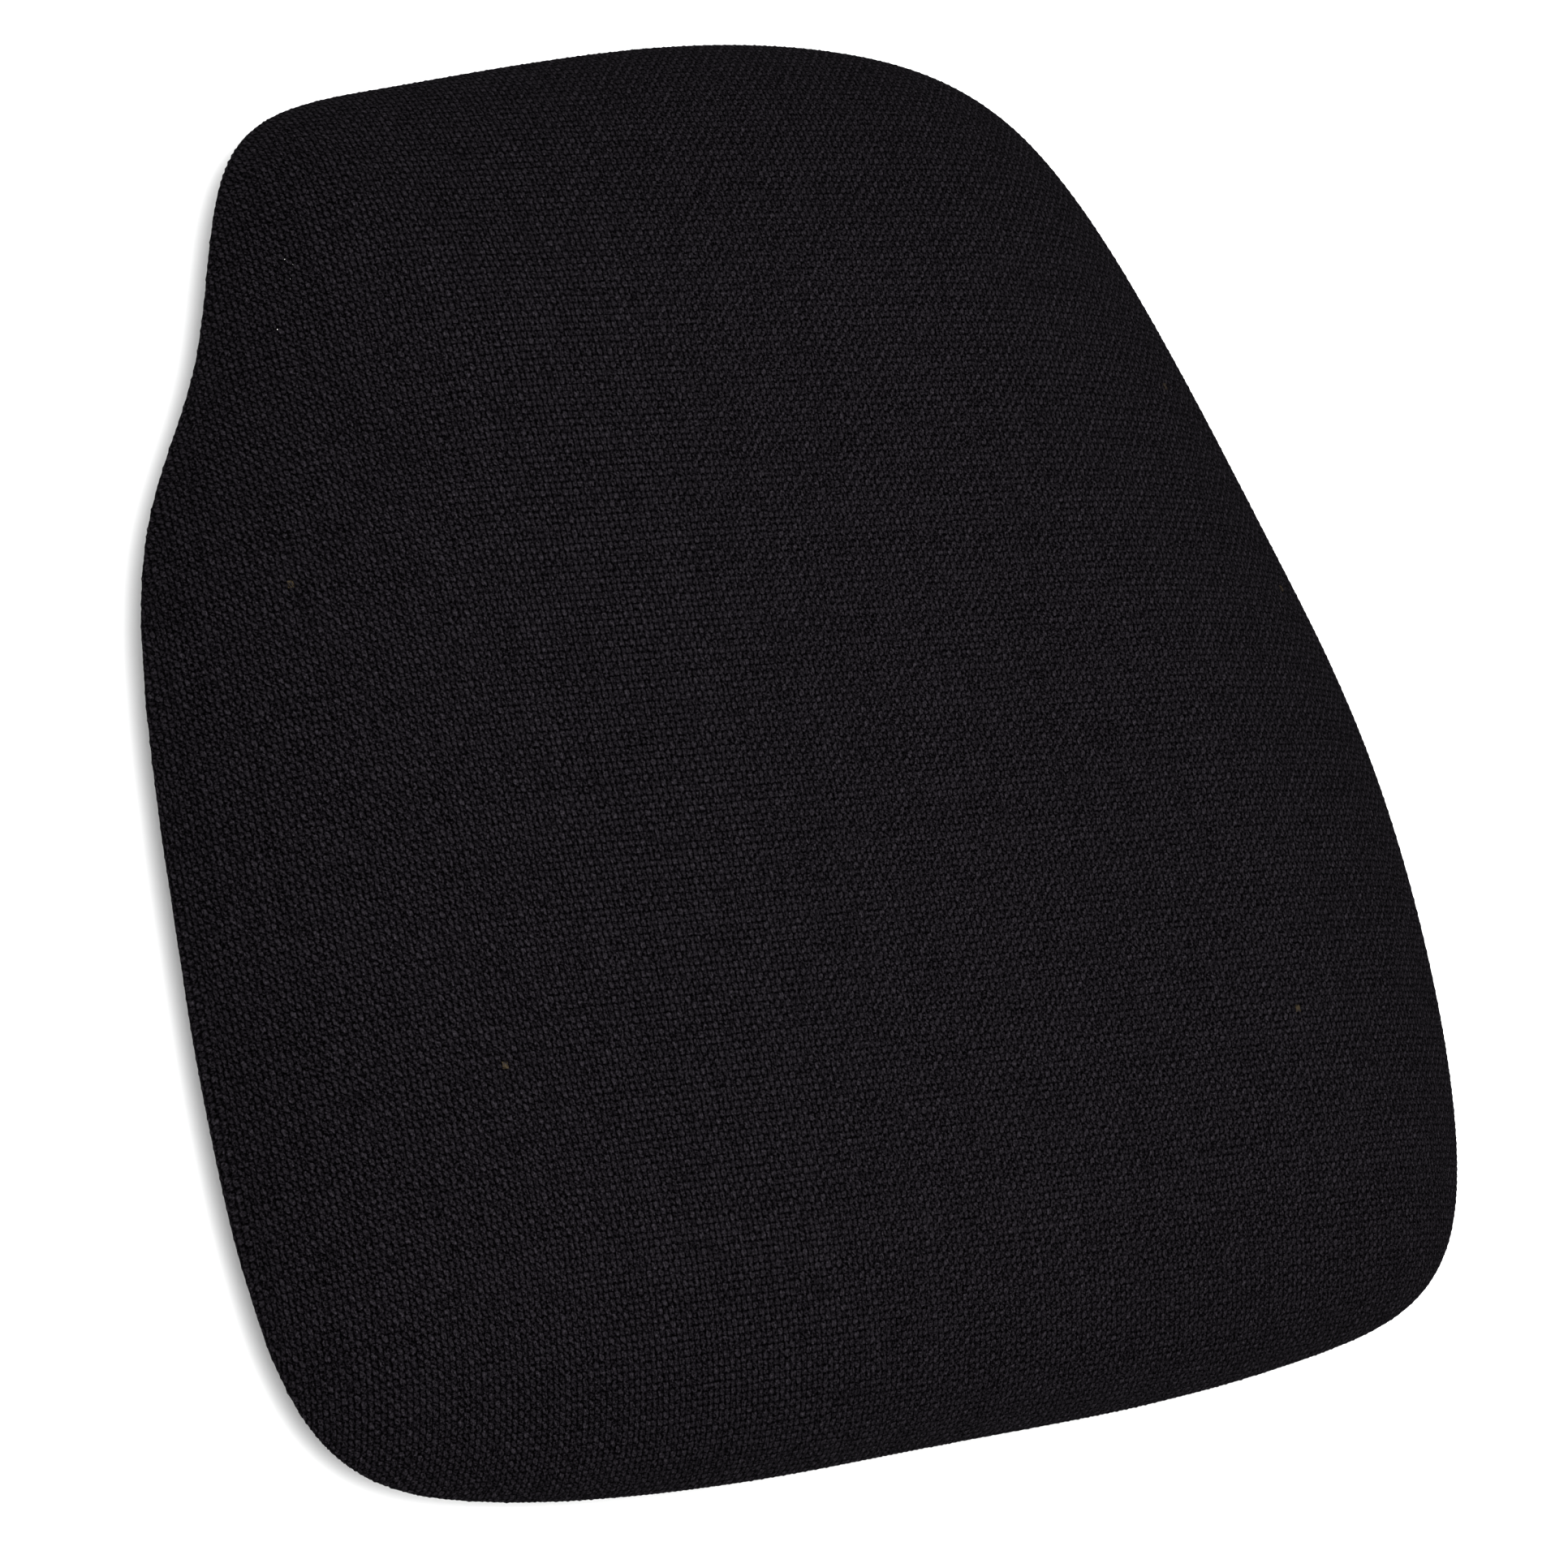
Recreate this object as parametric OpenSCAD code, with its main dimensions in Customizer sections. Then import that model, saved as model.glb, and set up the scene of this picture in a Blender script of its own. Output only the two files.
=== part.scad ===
// Low armless booster seat: a crowned pad in one piece of woven fabric, pulled over foam and a
// seat board, and clamped from below by a ribbed base pan on four rubber feet.
// Millimetres. X runs across the seat, +Y towards its back and +Z up. The origin is under the
// seat's middle, on the surface that the feet stand on.

/* [Seat outline] */
// Widest width of the seat, near its front
seat_w = 380; // [320:1:460]
// Depth from the front edge to the back edge
seat_d = 384; // [320:1:460]
// Width of the narrower rear end, across its two corners
rear_w = 256; // [200:1:310]

/* [Crown] */
// Height of the pad's middle above its lower edge
pad_h = 32; // [26:0.5:60]
// Part of that height that is a slow dome over the whole seat
crown_rise = 5; // [0:0.5:10]
// Width of the rounded shoulder along the front edge
front_round = 56; // [40:1:80]
// Width of the rounded shoulder along the sides
side_round = 87; // [50:1:100]
// Width of the rounded shoulder along the back edge
back_round = 94; // [50:1:110]
// Fullness of the shoulder: higher values keep the top flat for longer
fullness = 2.5; // [1.6:0.1:4]
// Steepness of the pad's lower edge: higher values stand it more upright
steepness = 1.85; // [1.2:0.05:2.4]

/* [Upholstery] */
// Thickness of the woven cover
cover_t = 1.2; // [0.8:0.1:2]
// How far the cover is pulled in under the seat board
cover_turn = 28; // [26:0.5:34]
// Thickness of the fibre wadding under the cover
wadding_t = 3; // [2:0.5:4]
// Gap left between two layers of upholstery
layer_gap = 0.1; // [0.05:0.05:0.3]
// Thickness of the foam left over the edge of the seat board
foam_over = 2; // [1:0.5:6]

/* [Seat board] */
// Thickness of the plywood seat board
board_t = 6; // [6:0.5:12]
// Number of staples that hold the cover under the board
staple_count = 40; // [24:2:60]
// Width of a staple's crown
staple_w = 10; // [8:0.5:12.5]
// Thickness of the staple wire
staple_wire = 0.7; // [0.5:0.1:1]
// Depth that a staple's legs reach into the board
staple_leg = 4; // [3:0.5:5]

/* [Base pan] */
// Height of the base pan from its lower rim to its clamping rim
pan_h = 12; // [10:0.5:20]
// How far the pan's side stands back under the cover's edge
pan_inset = 18; // [16:0.5:20]
// Wall thickness of the pan
pan_wall = 2.5; // [2:0.25:3]
// Width of the groove that gives the staples room
groove_w = 9.5; // [9:0.5:12]
// Depth of that groove below the clamping rim
groove_h = 2; // [1.5:0.25:3]
// Thickness of the pan's ribs
rib_t = 1.8; // [1.2:0.1:2.5]
// Distance from one rib to the next
rib_pitch = 40; // [30:1:60]
// How far the ribs stop short of the pan's lower rim
rib_short = 1.5; // [0.5:0.5:4]

/* [Fixings] */
// Thread diameter of the screws that hold the pan to the board
pan_screw_d = 5; // [4:0.5:6]
// Thread diameter of the inserts that take the screws of a chair or a frame
frame_screw_d = 6; // [5:0.5:8]
// Distance between the frame's inserts, across the seat
frame_x = 160; // [120:1:200]
// Distance between the frame's inserts, front to back
frame_y = 160; // [120:1:200]
// Length of an insert in its boss
insert_l = 7.5; // [6:0.5:8]

/* [Feet] */
// Diameter of a rubber foot
foot_d = 30; // [24:1:40]
// How far a foot stands below the pan
foot_stand = 3; // [2:0.5:6]
// How deep a foot sits in its cup
foot_seat = 2.5; // [2:0.5:4]
// Thread diameter of the screw in a foot
foot_screw_d = 4; // [3.5:0.5:5]

/* [Hidden] */
$fn = 48;

half_w = seat_w / 2;
half_d = seat_d / 2;
rear_half = rear_w / 2;

// Control points of the outline's smooth curve, front centre to back centre down the right side.
// Each row is a share of the rear half-width, a share of what the front adds to it, and a share
// of the half-depth.
shape = [
    [0, 0, -1], [0.33, 0.33, -1], [0.71, 0.71, -0.974], [0.984, 0.984, -0.88],
    [1.005, 1.005, -0.417], [0.99, 0.99, -0.13], [1, 0.806, 0.25], [1, 0.371, 0.51],
    [1, 0, 0.922], [0.516, 0, 0.974], [0, 0, 1.013]
];
steps_per_span = 4;
shoulder_rings = 9;
middle_rings = [0.7, 0.35];

// Heights of the faces that pieces share
pan_z = foot_stand;
clamp_z = pan_z + pan_h;
board_z = clamp_z + cover_t;
board_top = board_z + board_t;
crown_z = clamp_z + pad_h;

// Insets of the layers behind the cover's outer face
wadding_in = cover_t + layer_gap;
foam_in = wadding_in + wadding_t + layer_gap;
foam_rise = pad_h - cover_t - layer_gap - foam_in - crown_rise;
board_share = pow((board_t + foam_over) / foam_rise, steepness);
lip_t = max(front_round, side_round, back_round) * (1 - pow(1 - board_share, 1 / fullness));
board_in = foam_in + lip_t;
groove_in = pan_inset + pan_wall;
plateau_in = groove_in + groove_w;
staple_in = groove_in + (cover_turn - groove_in) / 2;
staple_clear = 0.05;

// Screws, nuts and their seats
thread_share = 0.84;
thread_clear = 0.05;
shank_clear = 0.25;
nut_wall = 0.8;
flange_t = 1.2;
flange_clear = 0.2;
head_share = 1.9;
head_h_share = 0.55;
drive_share = 0.9;
boss_wall = 2.2;
boss_drop = 3;
pan_screw_seat = board_z - pan_wall - boss_drop;
insert_wall = 1.3;
insert_r = frame_screw_d / 2 + insert_wall;
insert_z = pan_z + rib_short;
pan_screw_rows = [
    [0.21 * half_w, -0.63 * half_d], [0.63 * half_w, 0], [0.31 * rear_half, 0.63 * half_d]
];
foot_front = [half_w - 62, -half_d + 62];
foot_rear = [rear_half - 46, half_d - 62];
foot_top = pan_z + foot_seat;
foot_clear = 0.2;
washer_t = 1;
washer_wall = 2.8;
foot_head_z = 1.2;
foot_head_h = foot_screw_d * head_h_share;
washer_z = foot_head_z + foot_head_h;

function bend(a, b, c, d, t) =
    (pow(1 - t, 3) * a + (3 * pow(t, 3) - 6 * t * t + 4) * b
    + (3 * t + 3 * t * t - 3 * pow(t, 3) + 1) * c + pow(t, 3) * d) / 6;
function control(row) = [
    row[0] * rear_half + row[1] * (half_w - rear_half), row[2] * half_d
];
right = [for (row = shape) control(row)];
cage = concat(right, [for (i = [len(right) - 2:-1:1]) [-right[i].x, right[i].y]]);
function caged(i) = cage[i % len(cage)];
rim = [
    for (i = [0:len(cage) - 1]) for (k = [0:steps_per_span - 1])
        bend(caged(i), caged(i + 1), caged(i + 2), caged(i + 3), k / steps_per_span)
];
count = len(rim);
function outward(i) =
    let (along = rim[(i + 1) % count] - rim[(i + count - 1) % count])
    [along.y, -along.x] / norm(along);
out = [for (i = [0:count - 1]) outward(i)];
function edge(inset) = [for (i = [0:count - 1]) rim[i] - inset * out[i]];

// Width of the shoulder at each point of the outline
function shoulder(p) =
    let (c = -p.y / norm(p))
    side_round + (front_round - back_round) / 2 * c
    + ((front_round + back_round) / 2 - side_round) * c * c;
// Fall of the shoulder, 1 at its foot and 0 where it meets the top
function fall(q) = 1 - pow(1 - pow(1 - q, fullness), 1 / steepness);

// One ring of a crowned layer: q is 0 at its lower edge and 1 at the shoulder's inner end, and
// inward then shrinks the ring towards the middle
function crown_ring(inset, low, high, q, inward = 1) = [
    for (i = [0:count - 1])
        let (p = rim[i] - inset * out[i], r = shoulder(rim[i]))
        let (t = (1 - q * r / (p * out[i])) * inward)
        [p.x * t, p.y * t, high - crown_rise * t * t - (high - low - crown_rise) * fall(q)]
];
function crown_rings(inset, low, high) = concat(
    [for (f = [len(middle_rings) - 1:-1:0]) crown_ring(inset, low, high, 1, middle_rings[f] / 2 + 0.3)],
    [for (k = [shoulder_rings:-1:0]) crown_ring(inset, low, high, pow(k / shoulder_rings, 2))]
);
function flat_ring(inset, z) = [for (p = edge(inset)) [p.x, p.y, z]];
function reversed(list) = [for (i = [len(list) - 1:-1:0]) list[i]];

// A closed skin through a list of rings, with a point at each end over the middle of the seat
module skin(rings, first_z, last_z) {
    n = len(rings);
    points = concat([for (r = rings) each r], [[0, 0, first_z], [0, 0, last_z]]);
    sides = [
        for (r = [0:n - 2]) for (i = [0:count - 1])
            let (j = (i + 1) % count)
            [r * count + i, (r + 1) * count + i, (r + 1) * count + j, r * count + j]
    ];
    triangles = [for (s = sides) each [[s[0], s[3], s[1]], [s[1], s[3], s[2]]]];
    first_cap = [for (i = [0:count - 1]) [n * count, (i + 1) % count, i]];
    last_cap = [
        for (i = [0:count - 1])
            [n * count + 1, (n - 1) * count + i, (n - 1) * count + (i + 1) % count]
    ];
    polyhedron(points, concat(triangles, first_cap, last_cap));
}

module slab(inset, low, high) {
    translate([0, 0, low]) linear_extrude(high - low) polygon(edge(inset));
}

module wall_ring(outer_in, inner_in, low, high) {
    translate([0, 0, low]) linear_extrude(high - low) difference() {
        polygon(edge(outer_in));
        polygon(edge(inner_in));
    }
}

module rod(at, r, low, high) {
    translate([at.x, at.y, low]) cylinder(r = r, h = high - low);
}

function both_sides(list) = [for (p = list) each [p, [-p.x, p.y]]];
pan_screw_at = both_sides(pan_screw_rows);
frame_at = both_sides([[frame_x / 2, -frame_y / 2], [frame_x / 2, frame_y / 2]]);
foot_at = both_sides([foot_front, foot_rear]);

function flange_r(d) = d * 1.6;
function barrel_r(d) = d / 2 + nut_wall;
function thread_r(d) = d / 2 * thread_share;

// Soft layers
module seat_cover() {
    color([0.09, 0.085, 0.1]) skin(
        concat(
            crown_rings(0, clamp_z, crown_z),
            [flat_ring(cover_turn, clamp_z), flat_ring(cover_turn, board_z)],
            reversed(crown_rings(cover_t, board_z, crown_z - cover_t))
        ), crown_z, crown_z - cover_t
    );
}

module fibre_wadding() {
    low = board_z + layer_gap;
    high = crown_z - wadding_in;
    color([0.93, 0.93, 0.9]) skin(
        concat(
            crown_rings(wadding_in, low, high),
            reversed(crown_rings(wadding_in + wadding_t, low, high - wadding_t))
        ), high, high - wadding_t
    );
}

module seat_foam() {
    low = board_z + layer_gap;
    high = crown_z - foam_in;
    recess_in = board_in - layer_gap;
    recess_z = board_top + layer_gap;
    color([0.93, 0.88, 0.7]) skin(
        concat(
            crown_rings(foam_in, low, high),
            [flat_ring(recess_in, low), flat_ring(recess_in, recess_z)]
        ), high, recess_z
    );
}

// Seat board with its nuts and staples
module staple_place(k) {
    i = round(k * count / staple_count) % count;
    p = rim[i] - staple_in * out[i];
    translate([p.x, p.y, clamp_z]) rotate([0, 0, atan2(out[i].y, out[i].x) - 90]) children();
}

module staple_legs(spread, top) {
    for (s = [-1, 1])
        translate([s * (staple_w - staple_wire) / 2, 0, 0])
            translate([-spread / 2, -spread / 2, -staple_wire])
                cube([spread, spread, top + staple_wire]);
}

module cover_staples() {
    color([0.75, 0.76, 0.78]) for (k = [0:staple_count - 1]) staple_place(k) {
        translate([-staple_w / 2, -staple_wire / 2, -staple_wire])
            cube([staple_w, staple_wire, staple_wire]);
        staple_legs(staple_wire, cover_t + staple_leg);
    }
}

module nut_seat(at, d) {
    rod(at, barrel_r(d) + thread_clear, board_z - 1, board_top + 1);
    rod(at, flange_r(d) + flange_clear, board_top - flange_t - thread_clear, board_top + 1);
}

module seat_board() {
    color([0.78, 0.62, 0.42]) difference() {
        slab(board_in, board_z, board_top);
        for (at = pan_screw_at) nut_seat(at, pan_screw_d);
        for (k = [0:staple_count - 1]) staple_place(k)
            staple_legs(staple_wire + 2 * staple_clear, cover_t + staple_leg + staple_clear);
    }
}

module tee_nuts() {
    color([0.8, 0.8, 0.78]) for (at = pan_screw_at) difference() {
        union() {
            rod(at, barrel_r(pan_screw_d), board_z + flange_clear, board_top - flange_t);
            rod(at, flange_r(pan_screw_d), board_top - flange_t, board_top);
        }
        rod(at, thread_r(pan_screw_d), board_z - 1, board_top + 1);
    }
}

// Base pan
module ribs() {
    steps = ceil(max(half_w, half_d) / rib_pitch);
    reach = max(seat_w, seat_d);
    for (k = [-steps:steps]) translate([0, 0, pan_z + rib_short]) {
        rise = board_z - pan_wall / 2 - pan_z - rib_short;
        translate([k * rib_pitch - rib_t / 2, -reach / 2, 0]) cube([rib_t, reach, rise]);
        translate([-reach / 2, k * rib_pitch - rib_t / 2, 0]) cube([reach, rib_t, rise]);
    }
}

module base_pan() {
    deck_z = board_z - pan_wall;
    floor_z = clamp_z - groove_h - pan_wall;
    color([0.13, 0.13, 0.14]) difference() {
        union() {
            wall_ring(pan_inset, groove_in, pan_z, clamp_z);
            wall_ring(pan_inset, plateau_in + pan_wall, floor_z, floor_z + pan_wall);
            wall_ring(plateau_in, plateau_in + pan_wall, floor_z, board_z);
            slab(plateau_in, deck_z, board_z);
            intersection() {
                ribs();
                slab(plateau_in + pan_wall / 2, pan_z, board_z);
            }
            for (at = pan_screw_at)
                rod(at, pan_screw_d / 2 * head_share + boss_wall, pan_z + rib_short, deck_z + pan_wall / 2);
            for (at = frame_at) rod(at, insert_r + boss_wall, insert_z, deck_z + pan_wall / 2);
            for (at = foot_at) rod(at, foot_d / 2 + foot_clear + pan_wall, pan_z, deck_z + pan_wall / 2);
        }
        for (at = pan_screw_at) {
            rod(at, pan_screw_d / 2 + shank_clear, pan_z - 1, board_z + 1);
            rod(at, pan_screw_d / 2 * head_share + shank_clear, pan_z - 1, pan_screw_seat);
        }
        for (at = frame_at) {
            rod(at, insert_r + thread_clear, insert_z - 1, insert_z + insert_l);
            rod(at, frame_screw_d / 2 + shank_clear, insert_z, deck_z);
        }
        for (at = foot_at) {
            rod(at, foot_d / 2 + foot_clear, pan_z - 1, foot_top);
            rod(at, thread_r(foot_screw_d) + thread_clear, foot_top - 1, deck_z);
        }
    }
}

module frame_inserts() {
    color([0.8, 0.65, 0.35]) for (at = frame_at) difference() {
        rod(at, insert_r, insert_z, insert_z + insert_l);
        rod(at, thread_r(frame_screw_d), insert_z - 1, insert_z + insert_l + 1);
    }
}

module pan_head_screw(at, d, seat, tip) {
    head_r = d / 2 * head_share;
    head_h = d * head_h_share;
    difference() {
        union() {
            rod(at, thread_r(d) - thread_clear, seat, tip);
            rod(at, head_r, seat - head_h, seat);
        }
        translate([at.x, at.y, seat - head_h - 1])
            cylinder(r = d / 2 * drive_share, h = 1 + head_h / 2, $fn = 6);
    }
}

module pan_screws() {
    color([0.7, 0.7, 0.7]) for (at = pan_screw_at)
        pan_head_screw(at, pan_screw_d, pan_screw_seat, board_top - flange_t / 2);
}

// Feet
module foot(at) {
    color([0.06, 0.06, 0.06]) difference() {
        rod(at, foot_d / 2, 0, foot_top);
        rod(at, foot_screw_d / 2 * head_share + washer_wall + foot_clear, -1, washer_z + washer_t);
        rod(at, foot_screw_d / 2 + shank_clear, 0, foot_top + 1);
    }
}

module foot_washers() {
    color([0.75, 0.75, 0.75]) for (at = foot_at) difference() {
        rod(at, foot_screw_d / 2 * head_share + washer_wall, washer_z, washer_z + washer_t);
        rod(at, foot_screw_d / 2 + shank_clear, washer_z - 1, washer_z + washer_t + 1);
    }
}

module foot_screws() {
    color([0.7, 0.7, 0.7]) for (at = foot_at)
        pan_head_screw(at, foot_screw_d, washer_z, board_z - pan_wall - 1);
}

seat_cover();
fibre_wadding();
seat_foam();
seat_board();
cover_staples();
tee_nuts();
base_pan();
pan_screws();
frame_inserts();
foot(foot_at[1]);  // foot_front_left
foot(foot_at[0]);  // foot_front_right
foot(foot_at[3]);  // foot_rear_left
foot(foot_at[2]);  // foot_rear_right
foot_washers();
foot_screws();
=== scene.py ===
import math

import bpy
import numpy as np
from bpy.props import (
    FloatProperty,
    FloatVectorProperty,
    IntProperty,
    PointerProperty,
)
from bpy.types import Operator, Panel, PropertyGroup
from mathutils import Matrix, Vector


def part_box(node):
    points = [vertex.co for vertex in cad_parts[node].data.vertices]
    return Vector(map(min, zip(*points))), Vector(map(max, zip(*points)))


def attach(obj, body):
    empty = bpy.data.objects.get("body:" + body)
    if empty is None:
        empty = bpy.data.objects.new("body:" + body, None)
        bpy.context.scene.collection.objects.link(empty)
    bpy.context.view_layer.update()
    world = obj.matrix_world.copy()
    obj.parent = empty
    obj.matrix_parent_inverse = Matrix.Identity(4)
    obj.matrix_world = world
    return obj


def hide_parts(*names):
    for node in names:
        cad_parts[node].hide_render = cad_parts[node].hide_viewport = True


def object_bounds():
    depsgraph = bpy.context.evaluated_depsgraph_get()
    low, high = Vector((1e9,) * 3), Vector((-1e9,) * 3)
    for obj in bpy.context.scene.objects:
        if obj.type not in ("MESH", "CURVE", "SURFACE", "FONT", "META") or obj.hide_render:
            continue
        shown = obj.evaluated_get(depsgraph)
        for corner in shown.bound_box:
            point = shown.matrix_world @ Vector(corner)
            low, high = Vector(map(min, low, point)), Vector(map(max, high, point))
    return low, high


bl_info = {
    "name": "Booster seat",
    "version": (1, 0, 0),
    "blender": (4, 5, 0),
    "location": "3D Viewport > Sidebar > Booster seat",
    "description": "A low crowned booster seat in one piece of woven fabric, on a ribbed base pan",
    "category": "Add Mesh",
}

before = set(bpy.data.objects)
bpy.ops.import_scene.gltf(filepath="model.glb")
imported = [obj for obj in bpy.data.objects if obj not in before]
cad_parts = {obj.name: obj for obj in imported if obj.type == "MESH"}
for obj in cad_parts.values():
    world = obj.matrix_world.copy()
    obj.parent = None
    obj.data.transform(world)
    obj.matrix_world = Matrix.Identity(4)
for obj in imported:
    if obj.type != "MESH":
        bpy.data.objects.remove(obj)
CAD_LOW, CAD_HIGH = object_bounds()
COVER_LOW, COVER_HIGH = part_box("seat_cover")
FOAM_LOW, FOAM_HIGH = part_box("seat_foam")
BOARD_LOW, BOARD_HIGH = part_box("seat_board")
BODY = "root"

# Control points of the outline's smooth curve, front centre to back centre down the right side.
# Each row is a share of the rear half-width, a share of what the front adds to it, and a share
# of the half-depth.
OUTLINE = (
    (0, 0, -1), (0.33, 0.33, -1), (0.71, 0.71, -0.974), (0.984, 0.984, -0.88),
    (1.005, 1.005, -0.417), (0.99, 0.99, -0.13), (1, 0.806, 0.25), (1, 0.371, 0.51),
    (1, 0, 0.922), (0.516, 0, 0.974), (0, 0, 1.013),
)
# How far the hand-pulled cover draws each of those points to the right and to the back, in
# millimetres, on the seat's right side and on its left
PULL_RIGHT = (
    (0, 0), (0, 0), (0, 2), (-4, -2), (4, -6), (2, 12), (-6, -6), (4, 0), (-4, -4), (2, 4), (0, -3),
)
PULL_LEFT = (
    (0, 0), (0, -3), (-8, -3), (0, -3), (2, 3), (2, -4), (-2, 16), (6, 4), (-5, -5), (-18, -9), (0, -3),
)

# How finely the crowned form is worked out: directions round the seat's middle, steps over its
# flat top, over its shoulder and in under the board, and the distance between stored places
DIRECTIONS = 1440
TOP_STEPS = 200
SHOULDER_STEPS = 500
UNDER_STEPS = 60
STORED_STEP = 0.0003

CLEARANCE = 0.0001  # between layers that would touch
SPARE_CLOTH = 0.02  # woven past the turned-in edge, then cut off
HELD_ABOVE_EDGE = 0.004  # the cloth is held from this far above the lower edge
EDGE_FADE = 0.03  # height of cloth over which its movement grows from none
THREADS = 4  # yarns to a cell of the draped net

# Yarns, counted from the seat's middle, between which the weave's slant turns round
ASKEW = (-75.0, -10.0)

FEET = ("foot_front_left", "foot_front_right", "foot_rear_left", "foot_rear_right")
GROOVES = (0.0088, 0.0111)  # inner radii of the tread rings under a foot
FOOT_SIDES = 72

LIGHT_SIZE = 1.4
KEY_PLACE = (-0.5, -0.25, 1.95)
FILL_PLACE = (-1.5, -1.3, 0.6)
LIT_POINT = (0, 0, 0.03)
FLOOR_HALF = 6.0


# Sizes and colours ---------------------------------------------------------------------------

def length(name, description, default, low=0.0, high=1.0):
    """A size in metres."""
    return FloatProperty(
        name=name, description=description, default=default, min=low, max=high,
        precision=5, subtype="DISTANCE", unit="LENGTH",
    )


def share(name, description, default, low=0.0, high=1.0):
    """A plain number."""
    return FloatProperty(
        name=name, description=description, default=default, min=low, max=high, precision=4,
    )


def colour(name, description, default):
    """A linear colour."""
    return FloatVectorProperty(
        name=name, description=description, default=default, size=3, min=0.0, max=1.0,
        precision=4, subtype="COLOR",
    )


def power(name, description, default):
    """A lamp's power in watts."""
    return FloatProperty(
        name=name, description=description, default=default, min=0.0, unit="POWER",
    )


def turned(name, description, degrees):
    """An angle, given in degrees."""
    return FloatProperty(
        name=name, description=description, default=math.radians(degrees),
        subtype="ANGLE", unit="ROTATION",
    )


class SeatShape(PropertyGroup):
    """Sizes of the pad's crowned form."""

    width: length("Width", "Widest width of the seat, near its front", 0.380, 0.3, 0.5)
    depth: length("Depth", "Depth from the front edge to the back edge", 0.384, 0.3, 0.5)
    rear_width: length("Rear width", "Width of the narrower rear end", 0.256, 0.2, 0.4)
    low: length("Lower edge", "Height of the pad's lower edge", COVER_LOW.z, 0.0, 0.2)
    high: length("Crown", "Height of the pad's middle", COVER_HIGH.z, 0.01, 0.3)
    crown_rise: length("Crown rise", "Height of the slow dome over the whole seat", 0.005, 0.0, 0.02)
    front_round: length("Front shoulder", "Width of the front's rounded shoulder", 0.056, 0.02, 0.1)
    side_round: length("Side shoulder", "Width of each side's rounded shoulder", 0.087, 0.02, 0.12)
    back_round: length("Back shoulder", "Width of the back's rounded shoulder", 0.094, 0.02, 0.12)
    fullness: share("Fullness", "Higher values keep the top flat for longer", 2.5, 1.0, 5.0)
    unevenness: share("Unevenness", "How unevenly the cover is pulled by hand", 1.0, 0.0, 1.0)
    steepness: share("Steepness", "Higher values stand the lower edge more upright", 1.85, 1.0, 3.0)


class CoverCloth(PropertyGroup):
    """Sizes and colours of the woven cover."""

    warp_pitch: length("Warp pitch", "Distance between lengthwise yarns", 0.001609, 0.0005, 0.004)
    weft_pitch: length("Weft pitch", "Distance between crosswise yarns", 0.00185, 0.0005, 0.004)
    # Painted shade: how much darker the colour is where a crosswise yarn lies on top
    weft_painted_shade: share("Weft depth", "How much darker the crosswise yarns are", 0.35, 0.0, 1.0)
    turn_in: length("Turn-in", "How far the cloth is pulled in under the board", 0.027, 0.022, 0.034)
    relief: length("Relief", "Height of the crossings over the gaps", 0.00026, 0.0, 0.001)
    pull: length("Pull", "The furthest that the padding may push the cloth out", 0.0012, 0.0, 0.005)
    edge_softness: length("Edge softness", "How softly the lower edge turns", 0.0012, 0.0002, 0.005)
    pressure: share("Padding pressure", "Pressure of the padding on the cloth", 4.0, 0.0, 20.0)
    settle: IntProperty(
        name="Settling steps", description="Steps that the cloth settles for",
        default=20, min=1, max=60,
    )
    top_colour: colour("Yarn", "Colour on top of the yarns", (0.00745, 0.00655, 0.00785))
    # Painted shade: this colour stands for the shade deep between the yarns
    gap_shade_colour: colour("Gap", "Colour deep between the yarns", (0.0004, 0.0003, 0.0005))
    fleck_colour: colour("Fleck", "Colour of the rare light fibres", (0.036, 0.027, 0.015))
    heather: share("Heather", "How much the yarns differ in brightness", 0.5, 0.0, 1.0)
    rough: share("Roughness", "Roughness of the cloth", 0.92, 0.0, 1.0)
    # Painted shade: how much darker the cloth's colour is painted over the shoulder
    painted_shoulder_shade: share("Stretched shade", "How much darker the stretched shoulder is", 0.22, 0.0, 1.0)
    lean: share("Lean", "How far the yarns' twist slants each crossing", 0.42, -1.0, 1.0)
    sheen: share("Sheen", "Soft light along the cloth's edges", 0.004, 0.0, 1.0)


class Padding(PropertyGroup):
    """Sizes and colours of the layers under the cover."""

    wadding: length("Wadding", "Thickness of the fibre wadding", 0.003, 0.001, 0.01)
    cover: length("Cover", "Thickness of the cover outside the wadding", 0.0013, 0.0005, 0.004)
    wadding_colour: colour("Wadding", "Colour of the fibre wadding", (0.82, 0.82, 0.78))
    foam_colour: colour("Foam", "Colour of the foam", (0.78, 0.68, 0.42))


class Hardware(PropertyGroup):
    """Colours and small sizes of the board, the pan, the fixings and the feet."""

    ply_light: colour("Light ply", "Light grain of the plywood", (0.62, 0.43, 0.24))
    ply_dark: colour("Dark ply", "Dark grain of the plywood", (0.36, 0.21, 0.1))
    pan_colour: colour("Pan", "Colour of the moulded base pan", (0.022, 0.022, 0.024))
    steel_colour: colour("Steel", "Colour of the plated steel", (0.56, 0.57, 0.58))
    brass_colour: colour("Brass", "Colour of the threaded inserts", (0.69, 0.5, 0.2))
    rubber_colour: colour("Rubber", "Colour of the feet", (0.016, 0.016, 0.017))
    foot_edge: length("Foot edge", "Radius of a foot's rounded edge", 0.0009, 0.0, 0.002)
    foot_hole: length("Foot hole", "Radius of the screw's hole in a foot", 0.00225, 0.001, 0.004)
    foot_recess: length("Foot recess", "Radius of the recess for a foot's washer", 0.0068, 0.004, 0.009)
    washer_top: length("Washer top", "Height of a foot washer's upper face", 0.0044, 0.002, 0.006)


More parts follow.
